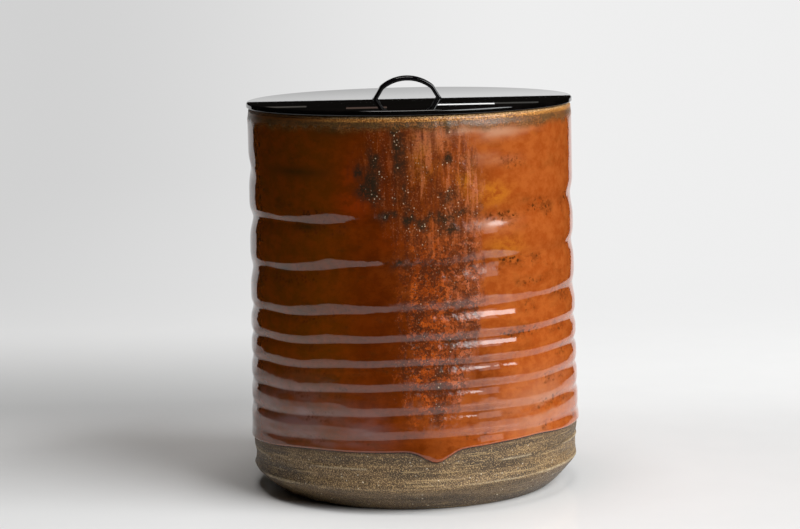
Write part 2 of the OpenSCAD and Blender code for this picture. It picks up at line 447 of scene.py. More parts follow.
def glaze_radius(angle, z, above):
    """Outer radius of the glaze at a height, and at a height above its lower edge."""
    coat = GLAZE_LOW_T + (GLAZE_HIGH_T - GLAZE_LOW_T) * z / JAR_TOP
    lip = smooth_step(JAR_TOP - LIP_ROUND - z, 0, GLAZE_FADE)
    coat = GLAZE_LIP_T + (coat - GLAZE_LIP_T) * lip
    bead = BEAD * np.exp(-above / BEAD_FADE)
    drop = DROP_SWELL * bell(angle, RUN_ANGLE, 0.7 * RUN_WIDTH) * np.exp(-above / DROP_FADE)
    place = on_axis(angle, LIP_R, z)
    run = run_mask(angle, z)
    lumps = RUN_LUMPS * run * noise(place, (2.2 * MM, 2.2 * MM, 3.5 * MM), 37)
    filled = RUN_FILL * RING_DEPTH * groove_depth(angle, z) * run * smooth_step(z, FILL_FROM, FILL_FULL)
    skin = SKIN_WAVE * noise(place, 6 * MM, 41)
    full = ringed_radius(angle, z) + coat + bead + drop + lumps + filled + skin
    rolled = np.sqrt(np.clip(1 - (1 - np.clip(above / edge_roll(angle), 0, 1)) ** 2, 0, 1))
    clay = clay_radius(angle, z)
    return np.minimum(clay + (full - clay) * rolled, box_limit(angle))


# Meshes

def as_object(name, points, faces):
    """A smooth-shaded object from points and faces."""
    mesh = bpy.data.meshes.new(name)
    mesh.from_pydata(points, [], faces)
    mesh.polygons.foreach_set("use_smooth", np.ones(len(mesh.polygons), dtype=bool))
    mesh.update()
    piece = bpy.data.objects.new(name, mesh)
    bpy.context.scene.collection.objects.link(piece)
    return piece


def round_object(name, grid, first_hub=None, last_hub=None, closed=False):
    """An object from rows of points round the axis; a hub is the middle point that closes an end."""
    rows, columns = grid.shape[:2]
    index = np.arange(rows * columns).reshape(rows, columns)
    upper = np.roll(index, -1, axis=0) if closed else index[1:]
    lower = index if closed else index[:-1]
    beside = [np.roll(part, -1, axis=1) for part in (lower, upper)]
    faces = np.stack([lower, beside[0], beside[1], upper], axis=-1).reshape(-1, 4).tolist()
    points = grid.reshape(-1, 3).tolist()
    for hub, row, order in ((first_hub, index[0], 1), (last_hub, index[-1], -1)):
        if hub is not None:
            faces += [[len(points), *pair[::order]] for pair in zip(np.roll(row, -1).tolist(), row.tolist())]
            points.append(hub)
    return as_object(name, points, faces)


def paint(piece, name, values):
    """Keeps one number for each point, for the material to read."""
    numbers = piece.data.attributes.new(name, "FLOAT", "POINT")
    filled = np.zeros(len(piece.data.vertices), np.float32)
    filled[:values.size] = values.ravel()
    numbers.data.foreach_set("value", filled)


def arc(x, z, radius, start, end, steps):
    """Points of an arc in the plane of the profile, from one angle to another in degrees."""
    turns = np.radians(np.linspace(start, end, steps + 1))
    return [(x + radius * math.cos(t), z + radius * math.sin(t)) for t in turns]


def turned(profile):
    """Rows of points round the axis from a profile of radius and height."""
    angle = around()
    return np.stack([on_axis(angle, r, np.full(COLUMNS, z)) for r, z in profile])


# Pieces of the jar

def make_jar_body():
    """The clay: foot, ringed wall, lip and inside."""
    angle = around()[None, :]
    heights = np.concatenate([
        np.linspace(0, FOOT_TOP, FOOT_ROWS),
        np.linspace(FOOT_TOP + 1 * MM, JAR_TOP - LIP_ROUND, WALL_ROWS)])[:, None]
    heights = np.broadcast_to(heights, (len(heights), COLUMNS))
    outside = on_axis(angle, clay_radius(angle, heights), heights)
    land = FOOT_R - LAND_W
    under = turned([(land - 6 * HOLLOW, HOLLOW), (land - HOLLOW, HOLLOW), (land, 0), (FOOT_R - 1 * MM, 0)])
    lip = turned(
        arc(LIP_R - LIP_ROUND, JAR_TOP - LIP_ROUND, LIP_ROUND, 10, 90, 8)
        + arc(MOUTH_R + LIP_ROUND, JAR_TOP - LIP_ROUND, LIP_ROUND, 90, 180, 8))
    floor = turned(arc(MOUTH_R - CORNER_R, LINING_LOW + CORNER_R, CORNER_R, 0, -90, 8))
    grid = np.concatenate([under, outside, lip, floor])
    piece = round_object("stoneware_body", grid, (0, 0, HOLLOW), (0, 0, LINING_LOW))
    wall = slice(len(under), len(under) + len(outside))
    below = np.ones(grid.shape[:2])
    below[wall] = glaze_edge(angle) - heights
    paint(piece, "below_glaze", below)
    # Where a painted highlight goes along the trimmed ridge, the bevel's edge and the burr.
    ridge_highlight = np.zeros(grid.shape[:2])
    rim = bell(heights, bevel_height(angle) + RIDGE_RISE, 0.7 * MM)
    ridge_highlight[wall] = 0.5 * rim + 0.5 * trim_ridge(angle, heights) + 0.8 * trim_burr(angle, heights)
    paint(piece, "ridge_highlight", ridge_highlight)
    # Where painted shade goes on the downward bevel and the underside.
    bevel = np.zeros(grid.shape[:2])
    bevel[:len(under)] = 1
    bevel[wall] = smooth_step(bevel_height(angle) - heights, -0.6 * MM, 1.2 * MM)
    paint(piece, "bevel", bevel)
    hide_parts("jar_body")
    return piece


def make_outer_glaze():
    """The coat on the outside, from its rolled lower edge up to the lip."""
    angle = around()[None, :]
    edge = glaze_edge(angle)
    top = JAR_TOP - LIP_ROUND
    roll = edge_roll(angle)
    curl = 1 - np.cos(np.linspace(0, math.pi / 2, ROLL_ROWS))[:, None]
    share = np.linspace(0, 1, COAT_ROWS)[1:, None]
    heights = np.concatenate([edge + roll * curl, edge + roll + share * (top - edge - roll)])
    above = heights - edge
    wide = np.broadcast_to(angle, heights.shape)
    radius = glaze_radius(wide, heights, above)
    foot = on_axis(angle, clay_radius(angle, edge) - GLAZE_TUCK, edge)
    lip = on_axis(angle, np.full(angle.shape, LIP_R - GLAZE_TUCK), np.full(angle.shape, top + GLAZE_TUCK))
    grid = np.concatenate([foot, on_axis(wide, radius, heights), lip])
    piece = round_object("iron_glaze_coat", grid)
    dark, stain = soot_mask(wide, heights)
    masks = {
        "groove": groove_depth(wide, heights), "run": run_mask(wide, heights),
        "soot": dark, "stain": stain}
    for name, marks in (
            ("halo", HALOS), ("shade", SHADES), ("amber", AMBERS),
            ("veil_and_sheen", VEILS_AND_SHEEN), ("speck", SPECKS), ("smudge_and_shade", SMUDGES_AND_RING_SHADE)):
        masks[name] = spots(marks, wide, heights)
    ends = np.ones((1, COLUMNS))
    for name, mask in masks.items():
        paint(piece, name, np.concatenate([0 * ends, mask, 0 * ends]))
    paint(piece, "above_edge", np.concatenate([0 * ends, above, ends]))
    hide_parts("outer_glaze")
    return piece


def make_lining():
    """The glaze inside, with the faint rings of the throwing."""
    angle = around()[None, :]
    corner_x = MOUTH_R - CORNER_R
    corner_z = LINING_LOW + CORNER_R
    skin = turned(arc(corner_x, corner_z, CORNER_R, -90, 0, 10) + [(MOUTH_R, LINING_TOP)])
    heights = np.linspace(LINING_TOP, corner_z, LINING_ROWS)[:, None]
    heights = np.broadcast_to(heights, (LINING_ROWS, COLUMNS))
    ends = bell(heights, LINING_TOP, 4 * MM) + bell(heights, corner_z, 4 * MM)
    swell = LINING_RINGS * np.clip(1 - ends, 0, 1) * groove_depth(angle, heights)
    wall = on_axis(angle, MOUTH_R - LINING_T + swell, heights)
    corner = turned(arc(corner_x, corner_z, CORNER_R - LINING_T, 0, -90, 12))
    grid = np.concatenate([skin, wall, corner])
    piece = round_object("lining_glaze_coat", grid, (0, 0, LINING_LOW), (0, 0, LINING_LOW + LINING_T))
    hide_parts("inner_glaze")
    return piece


# Pieces of the lid

def make_lid_board():
    """The turned board, with its upper and lower edges softened."""
    support = 0.25 * MM
    low_x = LID_R - EDGE_LOW_R
    top_x = LID_R - EDGE_TOP_R
    profile = [(HOOP_R, LID_LOW), (low_x - support, LID_LOW)]
    profile += arc(low_x, LID_LOW + EDGE_LOW_R, EDGE_LOW_R, -90, 0, 10)
    profile += [(LID_R, LID_LOW + EDGE_LOW_R + support), (LID_R, LID_TOP - EDGE_TOP_R - support)]
    profile += arc(top_x, LID_TOP - EDGE_TOP_R, EDGE_TOP_R, 0, 90, 18)
    profile += [(top_x - support, LID_TOP), (top_x / 2, LID_TOP)]
    piece = round_object("lacquered_board", turned(profile), (0, 0, LID_LOW), (0, 0, LID_TOP))
    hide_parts("lid_board")
    return piece


def make_lid_hoop():
    """The hoop under the board, with rounded lower edges."""
    inner = HOOP_R - HOOP_W
    profile = [(inner, LID_LOW + HOOP_BEVEL), (inner, HOOP_LOW + 2 * HOOP_BEVEL)]
    profile += arc(inner + HOOP_BEVEL, HOOP_LOW + HOOP_BEVEL, HOOP_BEVEL, 180, 270, 8)
    profile += arc(HOOP_R - HOOP_BEVEL, HOOP_LOW + HOOP_BEVEL, HOOP_BEVEL, 270, 360, 8)
    profile += [(HOOP_R, HOOP_LOW + 2 * HOOP_BEVEL), (HOOP_R, LID_LOW + HOOP_BEVEL)]
    piece = round_object("lacquered_hoop", turned(profile), closed=True)
    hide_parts("lid_hoop")
    return piece


def strip_section():
    """Outline of the strip across its thickness and width: rounded edges and a crowned outer face."""
    half_t = STRIP_T / 2 - STRIP_ROUND
    half_w = STRIP_W / 2 - STRIP_ROUND
    outline = []
    for x, y, start in ((1, 1, 0), (-1, 1, 90), (-1, -1, 180), (1, -1, 270)):
        outline += arc(x * half_t, y * half_w, STRIP_ROUND, start, start + 90, 6)
    crown = [(half_t + STRIP_ROUND, y) for y in np.linspace(-half_w, half_w, 14)[1:-1]]
    outline += crown
    return [(x - (STRIP_CROWN * (2 * y / STRIP_W) ** 2 if x > 0 else 0), y) for x, y in outline]


def bow_path():
    """Middle of the bow's strip from foot to foot: place across, height over the lid and turn from level."""
    rise = HANDLE_TOP - LID_TOP
    half_t = STRIP_T / 2
    knee_x = HANDLE_SPAN / 2 - LEG_H / math.tan(LEG_SLOPE) - KNEE_R * math.sin(LEG_SLOPE)
    knee_z = LEG_H - KNEE_R * math.cos(LEG_SLOPE)
    knee_drop = rise - knee_z
    back_r = (knee_x ** 2 + knee_drop ** 2 - KNEE_R ** 2) / (2 * (knee_drop - KNEE_R))
    back_z = rise - back_r
    back_turn = math.atan2(knee_x, knee_z - back_z)
    right = []
    back = (0, back_z, back_r - half_t, 0, back_turn, 24)
    knee = (knee_x, knee_z, KNEE_R - half_t, back_turn, LEG_SLOPE, 12)
    for x, z, r, start, end, steps in (back, knee):
        for turn in np.linspace(start, end, steps + 1)[:-1]:
            right.append((x + r * math.sin(turn), z + r * math.cos(turn), turn))
    foot_x = HANDLE_SPAN / 2 - half_t / math.sin(LEG_SLOPE)
    knee_foot = knee_z + (KNEE_R - half_t) * math.cos(LEG_SLOPE)
    for z in np.linspace(knee_foot, 0, 12):
        right.append((foot_x - z / math.tan(LEG_SLOPE), z, LEG_SLOPE))
    left = [(-x, z, -turn) for x, z, turn in right[:0:-1]]
    return left + right


def make_lid_handle():
    """The bow bent from one strip, with its tenons through the board."""
    path = bow_path()
    section = strip_section()
    points = []
    faces = []
    for i, (x, z, turn) in enumerate(path):
        cut_level = i in (0, len(path) - 1)
        for out, across in section:
            along = out / math.sin(turn) if cut_level else out * math.sin(turn)
            rise = 0 if cut_level else out * math.cos(turn)
            points.append((x + along, across, LID_TOP + z + rise))
    count = len(section)
    for i in range(len(path) - 1):
        for j in range(count):
            k = (j + 1) % count
            faces.append((i * count + j, (i + 1) * count + j, (i + 1) * count + k, i * count + k))
    faces.append(tuple(range(count)))
    faces.append(tuple(range((len(path) - 1) * count, len(path) * count))[::-1])
    foot_x = path[-1][0]
    for side in (-1, 1):
        start = len(points)
        for z in (LID_LOW - 0.05 * MM, LID_TOP + 0.4 * MM):
            for x, y in ((-1, -1), (1, -1), (1, 1), (-1, 1)):
                points.append((side * foot_x + x * TENON_T / 2, y * TENON_W / 2, z))
        for face in ((3, 2, 1, 0), (4, 5, 6, 7), (0, 1, 5, 4), (1, 2, 6, 5), (2, 3, 7, 6), (3, 0, 4, 7)):
            faces.append(tuple(start + i for i in face))
    cos_t, sin_t = math.cos(HANDLE_TURN), math.sin(HANDLE_TURN)
    points = [(HANDLE_X + x * cos_t - y * sin_t, x * sin_t + y * cos_t, z) for x, y, z in points]
    piece = as_object("bow_handle", points, faces)
    paint(piece, "inside", np.array([out < 0 for out, across in section] * len(path), float))
    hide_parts("lid_handle")
    return piece


# Materials

class Painter:
    """Adds nodes to one material and joins them up."""

    def __init__(self, name):
        self.material = bpy.data.materials.new(name)
        self.material.use_nodes = True
        self.tree = self.material.node_tree
        self.shader = self.tree.nodes["Principled BSDF"]
        self.place = self.add("ShaderNodeTexCoord").outputs["Object"]

    def add(self, kind, inputs=None, **settings):
        """One node, with its settings and its inputs by name or number."""
        made = self.tree.nodes.new(kind)
        for key, value in settings.items():
            setattr(made, key, value)
        for key, value in (inputs or {}).items():
            self.put(made.inputs[key], value)
        return made

    def put(self, socket, value):
        """Joins a socket to another, or sets its number or colour."""
        if isinstance(value, bpy.types.NodeSocket):
            self.tree.links.new(value, socket)
        elif isinstance(value, tuple) and len(value) == 3 and socket.type == "RGBA":
            socket.default_value = (*value, 1)
        else:
            socket.default_value = value

    def set(self, **values):
        """Inputs of the material's own shader; an underscore stands for a space."""
        for key, value in values.items():
            self.put(self.shader.inputs[key.replace("_", " ")], value)

    def stretched(self, x, y, z):
        """The place on the object, scaled along each axis."""
        return self.add("ShaderNodeMapping", {"Vector": self.place, "Scale": (x, y, z)}).outputs["Vector"]

    def noise(self, size, detail=4, rough=0.55, where=None, bend=0.0):
        """Noise from 0 to 1 with lumps of about that size in metres."""
        return self.add("ShaderNodeTexNoise", {
            "Vector": where or self.place, "Scale": 1 / size, "Detail": detail,
            "Roughness": rough, "Distortion": bend}).outputs["Fac"]

    def vectors(self, kind, inputs):
        """Vectors joined by a kind of sum, such as ADD."""
        return self.add("ShaderNodeVectorMath", inputs, operation=kind).outputs[0]

    def bent(self, size, reach):
        """The place on the object, moved about by up to that reach over lumps of that size."""
        drift = self.add("ShaderNodeTexNoise", {"Vector": self.place, "Scale": 1 / size, "Detail": 2})
        middle = self.vectors("SUBTRACT", {0: drift.outputs["Color"], 1: (0.5, 0.5, 0.5)})
        moved = self.vectors("SCALE", {0: middle, "Scale": 2 * reach})
        return self.vectors("ADD", {0: self.place, 1: moved})

    def cells(self, size, where=None):
        """Cells of about that size: distance from the middle and a number of the cell's own."""
        made = self.add("ShaderNodeTexVoronoi", {"Vector": where or self.place, "Scale": 1 / size})
        own = self.add("ShaderNodeSeparateXYZ", {0: made.outputs["Color"]}).outputs["X"]
        return made.outputs["Distance"], own

    def borders(self, size, where=None):
        """Distance from the borders of the same cells."""
        made = self.add("ShaderNodeTexVoronoi", {"Vector": where or self.place, "Scale": 1 / size})
        made.feature = "DISTANCE_TO_EDGE"
        return made.outputs["Distance"]

    def ramp(self, value, low, high, start=0.0, end=1.0):
        """A soft change from start to end as the value goes from low to high."""
        made = self.add("ShaderNodeMapRange", {0: value, 1: low, 2: high, 3: start, 4: end})
        made.interpolation_type = "SMOOTHSTEP"
        return made.outputs[0]

    def sum(self, kind, a, b):
        """Two numbers joined by a kind of sum, such as MULTIPLY."""
        return self.add("ShaderNodeMath", {0: a, 1: b}, operation=kind).outputs[0]

    def times(self, a, b):
        """One number times another."""
        return self.sum("MULTIPLY", a, b)

    def mix(self, share, a, b, blend="MIX"):
        """Colour a changed towards colour b by that share."""
        made = self.add("ShaderNodeMix", {0: share, 6: a, 7: b}, data_type="RGBA", blend_type=blend)
        return made.outputs[2]

    def kept(self, name):
        """A number kept for each point of the mesh."""
        return self.add("ShaderNodeAttribute", attribute_name=name).outputs["Fac"]

    def along(self, axis):
        """The place along one axis."""
        return self.add("ShaderNodeSeparateXYZ", {0: self.place}).outputs[axis]

    def across(self):
        """The place from left to right."""
        return self.along("X")

    def height(self):
        """The place from low to high."""
        return self.along("Z")

    def bump(self, height, depth, under=None):
        """Relief of that depth in metres, on top of another relief if there is one."""
        inputs = {"Height": height, "Distance": depth, "Strength": 1.0}
        if under is not None:
            inputs["Normal"] = under
        return self.add("ShaderNodeBump", inputs).outputs["Normal"]


def glaze_body(p):
    """Dark brown on the left, orange on the right, partly the glaze's own tone and partly painted shade on
    the side away from the lamp, with red halos, amber pools, smudges with a painted ring shade, and a milky
    veil that is partly painted sheen.
    """
    cloud = p.noise(30 * MM, 5, 0.6)
    mottle = p.noise(5 * MM, 5, 0.7, p.stretched(0.8, 0.8, 1))
    fine = p.noise(1.3 * MM, 3, 0.6)
    # Painted shade, partly the glaze's own tone: the share of orange grows towards the right, so the side
    # away from the lamp is darker brown.
    side = p.sum("ADD", p.times(p.across(), 1 / LIP_R), p.sum("SUBTRACT", cloud, 0.5))
    sunny = p.ramp(side, -0.22, 0.42)
    brown = p.mix(p.ramp(mottle, 0.36, 0.64), (0.150, 0.038, 0.0006), (0.215, 0.042, 0.0012))
    ruddy = p.mix(p.ramp(mottle, 0.36, 0.64), (0.135, 0.023, 0.0006), (0.195, 0.032, 0.0012))
    brown = p.mix(p.ramp(p.across(), -48 * MM, -22 * MM), brown, ruddy)
    orange = p.mix(p.ramp(mottle, 0.36, 0.64), (0.350, 0.066, 0.009), (0.440, 0.102, 0.017))
    colour = p.mix(sunny, brown, orange)
    colour = p.mix(p.times(p.ramp(fine, 0.45, 0.8), p.times(sunny, 0.25)), colour, (0.48, 0.125, 0.022))
    cloudy = p.ramp(p.noise(9 * MM, 5, 0.7, p.stretched(0.5, 0.5, 1)), 0.53, 0.68)
    cloudy = p.times(cloudy, p.ramp(sunny, 0.0, 0.6, 1.0, 0.3))
    # Smudges, with a painted ring shade from the wide band on the left.
    placed = p.times(p.kept("smudge_and_shade"), p.ramp(mottle, 0.3, 0.6, 0.45, 0.95))
    smudge_and_shade = p.sum("MAXIMUM", p.times(cloudy, 0.5), placed)
    colour = p.mix(smudge_and_shade, colour, (0.060, 0.026, 0.004))
    uneven = p.ramp(mottle, 0.34, 0.6)
    halo = p.times(p.kept("halo"), p.ramp(uneven, 0.0, 1.0, 0.4, 1.0))
    colour = p.mix(halo, colour, (0.33, 0.040, 0.002))
    shade = p.times(p.kept("shade"), p.ramp(uneven, 0.0, 1.0, 0.85, 0.6))
    colour = p.mix(shade, colour, (0.105, 0.016, 0.001))
    amber = p.times(p.kept("amber"), p.times(uneven, 0.8))
    colour = p.mix(amber, colour, (0.56, 0.18, 0.012))
    drift = p.ramp(p.noise(8 * MM, 3, 0.5, p.stretched(0.3, 0.3, 1)), 0.3, 0.6)
    # Veil colour, partly painted sheen: the pale highlight under the lip and the reflection low on the left.
    milk_and_sheen = p.mix(sunny, (0.25, 0.14, 0.135), (0.52, 0.235, 0.125))
    return p.mix(p.times(p.kept("veil_and_sheen"), p.times(drift, 0.6)), colour, milk_and_sheen)


def glaze_run(p, colour, share):
    """The run: streaks and black-green dabs above, flaky petals of many tones below, with painted sparkle
    highlights as pale dots.
    """
    fine = p.noise(0.9 * MM, 2, 0.6)
    lanes = p.noise(2.8 * MM, 3, 0.6, p.stretched(1, 1, 0.12), 0.6)
    streaked = p.mix(p.times(p.ramp(lanes, 0.47, 0.60), 0.75), colour, (0.15, 0.028, 0.007))
    lit = p.times(p.ramp(lanes, 0.50, 0.38), p.ramp(p.across(), -4 * MM, 8 * MM, 0.25, 0.85))
    streaked = p.mix(lit, streaked, (0.52, 0.145, 0.050))
    streaked = p.mix(p.times(p.ramp(fine, 0.55, 0.66), 0.55), streaked, (0.075, 0.022, 0.008))
    streaked = p.mix(p.times(p.ramp(fine, 0.42, 0.34), 0.35), streaked, (0.52, 0.19, 0.08))

    milky = p.ramp(p.across(), 10 * MM, 26 * MM)
    flow = p.bent(2.0 * MM, 1.2 * MM)
    tone = p.cells(2.1 * MM, flow)[1]
    clumps = p.noise(6 * MM, 3, 0.6, p.stretched(1, 1, 0.5))
    bright = p.sum("SUBTRACT", p.sum("ADD", clumps, p.times(tone, 0.4)), p.times(p.kept("groove"), 0.15))
    red = p.mix(milky, (0.28, 0.046, 0.006), (0.30, 0.064, 0.016))
    vivid = p.mix(milky, (0.52, 0.092, 0.009), (0.48, 0.128, 0.052))
    flaky = p.mix(p.ramp(bright, 0.48, 0.74), (0.105, 0.019, 0.005), red)
    flaky = p.mix(p.ramp(bright, 0.72, 0.94), flaky, vivid)
    seams = p.times(p.ramp(p.borders(2.1 * MM, flow), 0.13, 0.02), p.ramp(fine, 0.40, 0.56))
    flaky = p.mix(p.times(seams, 0.8), flaky, (0.042, 0.021, 0.011))
    flaky = p.mix(p.times(p.ramp(fine, 0.57, 0.66), 0.8), flaky, (0.036, 0.021, 0.012))
    flaky = p.mix(p.times(p.ramp(fine, 0.40, 0.32), 0.45), flaky, (0.50, 0.19, 0.075))

    high = p.ramp(p.height(), 118 * MM, 150 * MM)
    colour = p.mix(p.times(share, 0.9), colour, p.mix(high, flaky, streaked))
    colour = p.mix(p.times(p.kept("stain"), p.ramp(fine, 0.35, 0.6, 0.3, 0.75)), colour, (0.11, 0.024, 0.007))
    dark = p.times(p.kept("soot"), p.ramp(fine, 0.32, 0.56, 0.6, 0.96))
    colour = p.mix(dark, colour, (0.032, 0.022, 0.012))
    # Painted sparkle highlights: pale dots where the run's lumps would catch the light, gathered in the
    # stained dabs.
    dot, chance = p.cells(1.25 * MM, p.bent(1 * MM, 0.3 * MM))
    crowd = p.times(p.ramp(p.noise(4 * MM, 2), 0.46, 0.56), p.ramp(p.kept("stain"), 0.1, 0.8, 0.2, 1.0))
    sparkle_highlights = p.times(p.ramp(dot, 0.34, 0.12), p.times(p.ramp(chance, 0.35, 0.85), p.times(crowd, share)))
    return p.mix(sparkle_highlights, colour, (0.90, 0.66, 0.43))


def glaze_ends(p, colour, olive):
    """Thin olive grainy glaze below the golden lip, whose gold carries a painted highlight brighter on the
    right, and a dark line of painted shade at the lower edge.
    """
    grain = p.noise(0.6 * MM, 2, 0.5)
    patchy = p.ramp(p.noise(6 * MM, 3, 0.6), 0.4, 0.6)
    tan = p.mix(patchy, (0.18, 0.102, 0.032), (0.38, 0.150, 0.040))
    thin = p.mix(p.ramp(grain, 0.44, 0.62), (0.065, 0.038, 0.014), tan)
    colour = p.mix(p.times(olive, 0.85), colour, thin)
    bare = p.ramp(p.height(), JAR_TOP - 3.4 * MM, JAR_TOP - 2.4 * MM)
    # The golden lip is partly the bare clay's own colour and partly a painted highlight, bright on the lit
    # right and dark on the left.
    gold_and_highlight = p.mix(p.ramp(p.across(), -60 * MM, -25 * MM), (0.16, 0.07, 0.015), (0.85, 0.40, 0.10))
    colour = p.mix(p.times(bare, 0.9), colour, p.mix(p.ramp(grain, 0.44, 0.60), (0.24, 0.075, 0.012), gold_and_highlight))
    # Painted shade: a dark line where the glaze's edge rolls under.
    edge = p.ramp(p.kept("above_edge"), 0.0, 0.5 * MM, 1.0, 0.0)
    return p.mix(p.times(edge, 0.85), colour, (0.055, 0.022, 0.012))


def iron_glaze():
    """Glossy orange-brown glaze with a dark grainy run, a thin olive lip and speckled grooves."""
    p = Painter("iron_glaze")
    colour = glaze_body(p)

    # Iron specks gather in some stretches of the grooves
    patch = p.times(p.ramp(p.noise(20 * MM, 2, 0.5), 0.5, 0.62), p.ramp(p.kept("groove"), 0.05, 0.5))
    near = p.sum("MAXIMUM", p.times(patch, 0.6), p.ramp(p.kept("speck"), 0.1, 0.7))
    rust = p.times(near, p.ramp(p.noise(3.5 * MM, 4, 0.7, p.stretched(0.6, 0.6, 1)), 0.45, 0.6))
    colour = p.mix(p.times(rust, 0.65), colour, (0.15, 0.032, 0.006))
    crumb, chance = p.cells(1.9 * MM, p.bent(1.5 * MM, 1.3 * MM))
    specks = p.times(p.ramp(crumb, 0.55, 0.25), p.times(p.ramp(chance, 0.2, 0.6), near))
    colour = p.mix(p.times(specks, 0.9), colour, (0.070, 0.019, 0.004))

    run = p.kept("run")
    torn = p.sum("SUBTRACT", p.noise(4 * MM, 6, 0.78, p.stretched(1, 1, 0.4)), 0.5)
    share = p.times(p.ramp(p.sum("ADD", run, p.times(torn, 2.0)), 0.25, 0.85), p.ramp(run, 0.02, 0.25))
    colour = glaze_run(p, colour, share)

    wavy = p.sum("ADD", p.height(), p.times(p.sum("SUBTRACT", p.noise(8 * MM, 4), 0.5), 8 * MM))
    wavy = p.sum("ADD", wavy, p.ramp(p.across(), -10 * MM, 40 * MM, 0.0, 0.8 * MM))
    olive = p.ramp(wavy, JAR_TOP - 9 * MM, JAR_TOP - 4 * MM)
    colour = glaze_ends(p, colour, olive)

    rough = p.ramp(p.noise(4 * MM, 3), 0.3, 0.7, 0.03, 0.07)
    rough = p.sum("MAXIMUM", rough, p.times(share, p.ramp(p.noise(0.9 * MM, 2, 0.6), 0.40, 0.58, 0.05, 0.13)))
    rough = p.sum("MAXIMUM", rough, p.times(p.kept("veil_and_sheen"), 0.15))
    rough = p.sum("MAXIMUM", rough, p.times(olive, 0.34))
    skin = p.bump(p.noise(7 * MM, 3, 0.5), 0.08 * MM)
    skin = p.bump(p.noise(2 * MM, 2, 0.5), 0.02 * MM, skin)
    lumps = p.bump(p.times(p.sum("MAXIMUM", share, olive), p.noise(0.8 * MM, 2)), 0.13 * MM, skin)
    p.set(Base_Color=colour, Roughness=rough, Normal=lumps, IOR=1.6)
    return p.material


def stoneware():
    """Bare grey-brown clay, sandy, with pale grit, trimming lines and golden sparkle; painted highlights on
    the trimmed ridges and the golden lip, and painted shade on the bevel and under the glaze.
    """
    p = Painter("stoneware")
    cloud = p.noise(26 * MM, 5, 0.6)
    bands = p.noise(4.5 * MM, 4, 0.6, p.stretched(0.1, 0.1, 1))
    lines = p.noise(1.2 * MM, 3, 0.6, p.stretched(0.05, 0.05, 1))
    sand = p.noise(0.55 * MM, 2, 0.6)
    colour = p.mix(p.ramp(cloud, 0.35, 0.65), (0.108, 0.058, 0.021), (0.158, 0.088, 0.033))
    colour = p.mix(p.times(p.ramp(bands, 0.42, 0.60), 0.8), colour, (0.052, 0.030, 0.012))
    colour = p.mix(p.times(p.ramp(lines, 0.58, 0.66), 0.65), colour, (0.48, 0.33, 0.155))
    sparkle = p.ramp(p.sum("SUBTRACT", sand, p.times(p.ramp(bands, 0.4, 0.65), 0.05)), 0.51, 0.60)
    colour = p.mix(sparkle, colour, (0.45, 0.295, 0.13))
    colour = p.mix(p.ramp(sand, 0.42, 0.34), colour, (0.034, 0.022, 0.011))
    # Painted shade on the bevel and the underside, which face down.
    colour = p.mix(p.times(p.kept("bevel"), 0.4), colour, (0.045, 0.027, 0.012))
    # Painted highlight along the trimmed ridge, the bevel's edge and the burr.
    ridge_highlight = p.times(p.ramp(p.kept("ridge_highlight"), 0.25, 0.9), p.ramp(p.noise(1.2 * MM, 3, 0.7), 0.35, 0.6, 0.1, 0.85))
    colour = p.mix(ridge_highlight, colour, (0.56, 0.44, 0.27))
    dot, chance = p.cells(2.6 * MM, p.bent(2 * MM, 0.6 * MM))
    grit = p.times(p.ramp(dot, 0.17, 0.07), p.ramp(chance, 0.5, 0.95))
    colour = p.mix(grit, colour, (0.80, 0.72, 0.56))
    near = p.kept("below_glaze")
    # Painted shade under the glaze's edge: a wide soft band and a thin dark line.
    colour = p.mix(p.ramp(near, 4 * MM, 0.5 * MM, 0.0, 0.35), colour, (0.16, 0.085, 0.035))
    colour = p.mix(p.ramp(near, 0.6 * MM, 0.3 * MM, 0.0, 0.9), colour, (0.030, 0.017, 0.010))
    lip = p.ramp(p.height(), JAR_TOP - 8 * MM, JAR_TOP - 4 * MM)
    # The golden lip, partly the clay's own colour and partly a painted highlight, bright on the right and
    # dark on the left.
    gold_and_highlight = p.mix(p.ramp(p.across(), -60 * MM, -25 * MM), (0.20, 0.09, 0.02), (1.0, 0.62, 0.26))
    glow = p.mix(p.ramp(sand, 0.44, 0.58), (0.30, 0.11, 0.020), gold_and_highlight)
    colour = p.mix(p.times(lip, 0.92), colour, glow)
    rough = p.ramp(sand, 0.3, 0.7, 0.55, 0.36)
    trimming = p.bump(lines, 0.3 * MM)
    p.set(Base_Color=colour, Roughness=rough, Normal=p.bump(sand, 0.45 * MM, trimming))
    return p.material


def lining_glaze():
    """Glossy brown glaze inside, darker where it pools."""
    p = Painter("lining_glaze")
    cloud = p.noise(25 * MM, 5, 0.6)
    speck = p.ramp(p.noise(1.2 * MM, 3, 0.7), 0.6, 0.7)
    colour = p.mix(p.ramp(cloud, 0.35, 0.68), (0.30, 0.12, 0.040), (0.19, 0.060, 0.016))
    colour = p.mix(p.times(speck, 0.6), colour, (0.05, 0.022, 0.010))
    pool = p.ramp(p.height(), LINING_LOW + 18 * MM, LINING_LOW)
    colour = p.mix(p.times(pool, 0.6), colour, (0.09, 0.035, 0.014))
    rough = p.ramp(p.noise(5 * MM, 3), 0.3, 0.7, 0.10, 0.18)
    p.set(Base_Color=colour, Roughness=rough, Normal=p.bump(p.noise(6 * MM, 3), 0.12 * MM))
    return p.material


def lacquer(name, tint):
    """Polished black lacquer, with the faintest unevenness and polishing haze, duller inside the bow."""
    p = Painter(name)
    haze = p.noise(14 * MM, 4, 0.6)
    colour = p.mix(p.ramp(haze, 0.35, 0.7), (0.0015, 0.0012, 0.001), tint)
    rough = p.ramp(p.noise(2 * MM, 3, 0.6), 0.35, 0.75, 0.003, 0.009)
    rough = p.sum("MAXIMUM", rough, p.times(p.kept("inside"), 0.55))
    p.set(Base_Color=colour, Roughness=rough)
    return p.material


# The studio: a white table of limited size that turns up behind, a large soft lamp on the right, dark beyond

